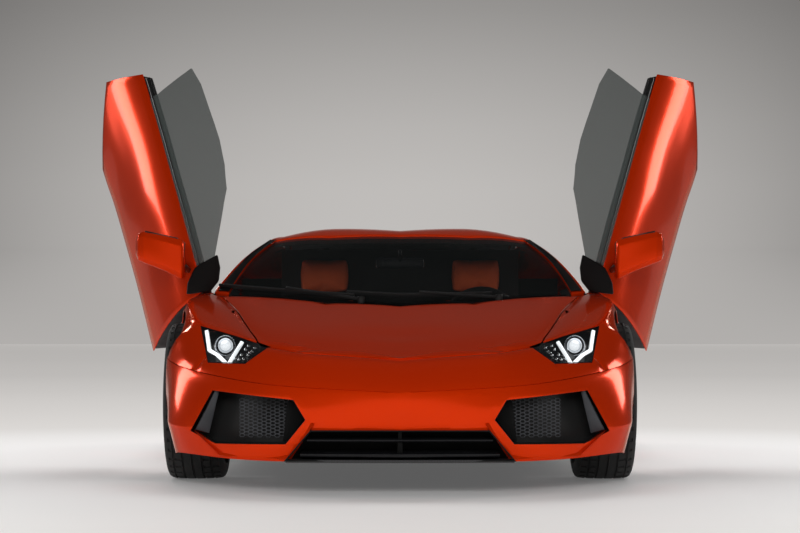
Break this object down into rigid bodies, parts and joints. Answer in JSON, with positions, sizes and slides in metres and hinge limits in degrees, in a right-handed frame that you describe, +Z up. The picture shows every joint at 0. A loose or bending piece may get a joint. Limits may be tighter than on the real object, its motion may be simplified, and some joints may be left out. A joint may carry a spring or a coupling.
{
  "type": "sports car",
  "caption": "Low mid-engined sports car with doors that swing upwards on front hinges, opening front and engine lids, steered front wheels and a low wedge nose.",
  "frame": {"origin": "on the ground under the middle of the car's length and width", "axes": "+Z up, -Y towards the nose, +X towards the car's own left side, where the steering wheel is"},
  "size_m": [2.8972, 4.7844, 1.8529],
  "materials": {
    "paint": "gloss",
    "black_trim": "satin",
    "carbon": "satin",
    "glass": "polished",
    "lamp": "polished",
    "tail_lamp": "polished",
    "tyre": "matte",
    "rim": "satin",
    "steel": "satin",
    "engine_alloy": "satin",
    "leather": "matte"
  },
  "bodies": {
    "chassis": {"cowl": "black_trim", "dashboard": "black_trim", "engine": "engine_alloy", "exhaust": "steel", "front_bumper": "paint", "front_fender_left": "paint", "front_fender_right": "paint", "front_grille": "black_trim", "front_suspension": "steel", "headlamp_left": "lamp", "headlamp_right": "lamp", "rear_bumper": "paint", "rear_diffuser": "carbon", "rear_grille": "black_trim", "rear_quarter_left": "paint", "rear_quarter_right": "paint", "rear_suspension": "steel", "roof": "paint", "seat_left": "leather", "seat_right": "leather", "steering_wheel": "black_trim", "tail_lamp_left": "tail_lamp", "tail_lamp_right": "tail_lamp", "tub": "carbon", "windscreen": "glass"},
    "knuckle_left": {"knuckle_front_left": "steel"},
    "wheel_front_left": {"tyre_front_left": "tyre", "rim_front_left": "rim", "brake_disc_front_left": "steel"},
    "wheel_rear_left": {"tyre_rear_left": "tyre", "rim_rear_left": "rim", "brake_disc_rear_left": "steel"},
    "door_left": {"door_left": "paint", "door_glass_left": "glass", "mirror_left": "paint"},
    "knuckle_right": {"knuckle_front_right": "steel"},
    "wheel_front_right": {"tyre_front_right": "tyre", "rim_front_right": "rim", "brake_disc_front_right": "steel"},
    "wheel_rear_right": {"tyre_rear_right": "tyre", "rim_rear_right": "rim", "brake_disc_rear_right": "steel"},
    "door_right": {"door_right": "paint", "door_glass_right": "glass", "mirror_right": "paint"},
    "front_lid": {"front_lid": "paint"},
    "engine_lid": {"engine_lid": "black_trim"}
  },
  "joints": [
    {"name": "steer_left", "type": "hinge", "parent": "chassis", "child": "knuckle_left", "pos_m": [0.8, -1.3, 0.3305], "axis": [0, 0, 1], "range_deg": [-30, 30]},
    {"name": "steer_right", "type": "hinge", "parent": "chassis", "child": "knuckle_right", "pos_m": [-0.8, -1.3, 0.3305], "axis": [0, 0, 1], "range_deg": [-30, 30]},
    {"name": "spin_front_left", "type": "hinge", "parent": "knuckle_left", "child": "wheel_front_left", "pos_m": [0.86, -1.3, 0.3305], "axis": [1, 0, 0], "continuous": true},
    {"name": "spin_front_right", "type": "hinge", "parent": "knuckle_right", "child": "wheel_front_right", "pos_m": [-0.86, -1.3, 0.3305], "axis": [1, 0, 0], "continuous": true},
    {"name": "spin_rear_left", "type": "hinge", "parent": "chassis", "child": "wheel_rear_left", "pos_m": [0.8275, 1.4, 0.3545], "axis": [1, 0, 0], "continuous": true},
    {"name": "spin_rear_right", "type": "hinge", "parent": "chassis", "child": "wheel_rear_right", "pos_m": [-0.8275, 1.4, 0.3545], "axis": [1, 0, 0], "continuous": true},
    {"name": "door_left_swing", "type": "hinge", "parent": "chassis", "child": "door_left", "pos_m": [0.845, -0.828, 0.762], "axis": [0.9089, -0.137, -0.3939], "range_deg": [-65, 0]},
    {"name": "door_right_swing", "type": "hinge", "parent": "chassis", "child": "door_right", "pos_m": [-0.845, -0.828, 0.762], "axis": [0.9089, 0.137, 0.3939], "range_deg": [-65, 0]},
    {"name": "front_lid_lift", "type": "hinge", "parent": "chassis", "child": "front_lid", "pos_m": [0, -0.83, 0.745], "axis": [-1, 0, 0], "range_deg": [0, 50]},
    {"name": "engine_lid_lift", "type": "hinge", "parent": "chassis", "child": "engine_lid", "pos_m": [0, 0.8, 1], "axis": [1, 0, 0], "range_deg": [0, 45]}
  ],
  "couplings": [
    {"joint": "steer_right", "follows": "steer_left", "ratio": 1}
  ]
}
